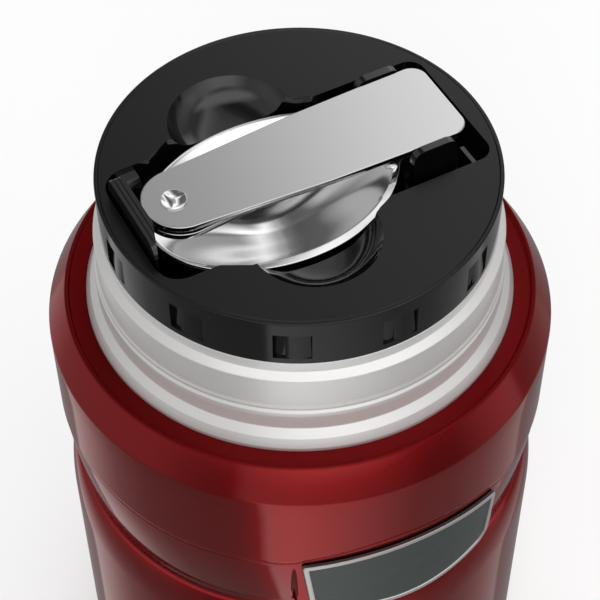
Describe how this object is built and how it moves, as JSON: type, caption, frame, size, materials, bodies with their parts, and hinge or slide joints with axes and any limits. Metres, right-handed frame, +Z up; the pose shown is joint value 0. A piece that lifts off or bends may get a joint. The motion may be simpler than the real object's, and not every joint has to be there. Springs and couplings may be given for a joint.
{
  "type": "insulated food jar",
  "caption": "Vacuum insulated steel food jar with a painted shell, bare steel neck and a screw stopper whose recess holds a folding spoon.",
  "frame": {"origin": "centre of the flat rim that the jar stands on, on the jar's axis", "axes": "+Z up along the jar's axis, -Y towards the name plate, +X to the right of it"},
  "size_m": [0.094, 0.0948, 0.14],
  "materials": {
    "lacquered_shell": "clear red lacquer over steel, glossy",
    "satin_steel": "satin",
    "liner_steel": "electropolished",
    "copper_foil": "bright foil",
    "bottom_steel": "mill finish",
    "base_steel": "satin",
    "seal_glass": "fused solder glass",
    "getter_metal": "sintered",
    "plate_adhesive": "adhesive pad",
    "plate_grey": "satin grey-green",
    "plate_rim": "bright",
    "black_plastic": "moulded, satin",
    "plug_plastic": "moulded, satin",
    "foam": "rigid foam",
    "silicone": "silicone",
    "spoon_steel": "polished bowl, satin handle",
    "rivet_steel": "turned"
  },
  "bodies": {
    "jar": {"outer_shell": "lacquered_shell", "neck_ring": "satin_steel", "inner_liner": "liner_steel", "liner_foil": "copper_foil", "vacuum_bottom": "bottom_steel", "exhaust_seal": "seal_glass", "getter_holder": "bottom_steel", "getter": "getter_metal", "base_cap": "base_steel", "plate_tape": "plate_adhesive", "name_plate": "plate_grey", "plate_border": "plate_rim"},
    "gasket": {"stopper_gasket": "silicone"},
    "stopper": {"stopper_cap": "black_plastic", "stopper_plug": "plug_plastic", "stopper_foam": "foam", "plug_bottom": "plug_plastic"},
    "spoon_bowl": {"spoon_bowl": "spoon_steel", "link_rivet": "rivet_steel", "link_washer": "rivet_steel"},
    "spoon_link": {"spoon_link": "spoon_steel", "handle_rivet": "rivet_steel", "handle_washer": "rivet_steel"},
    "spoon_handle": {"spoon_handle": "spoon_steel"}
  },
  "joints": [
    {"name": "stopper_rise", "type": "slide", "parent": "jar", "child": "gasket", "axis": [0, 0, 1], "range_m": [0, 0.0281]},
    {"name": "stopper_turn", "type": "hinge", "parent": "gasket", "child": "stopper", "pos_m": [0, 0, 0.125], "axis": [0, 0, 1], "range_deg": [0, 1440]},
    {"name": "spoon_lift", "type": "slide", "parent": "stopper", "child": "spoon_bowl", "axis": [0, 0, 1], "range_m": [0, 0.15]},
    {"name": "link_swivel", "type": "hinge", "parent": "spoon_bowl", "child": "spoon_link", "pos_m": [0.02396, 0.00142, 0.1355], "axis": [0, 0, 1], "range_deg": [0, 180.2]},
    {"name": "handle_swivel", "type": "hinge", "parent": "spoon_link", "child": "spoon_handle", "pos_m": [-0.02376, -0.00141, 0.1373], "axis": [0, 0, 1], "range_deg": [-180.2, 0]}
  ],
  "couplings": [
    {"joint": "stopper_rise", "follows": "stopper_turn", "m_per_rad": 0.0011141},
    {"joint": "link_swivel", "follows": "spoon_lift", "rad_per_m": 20.944},
    {"joint": "handle_swivel", "follows": "spoon_lift", "rad_per_m": -20.944}
  ]
}
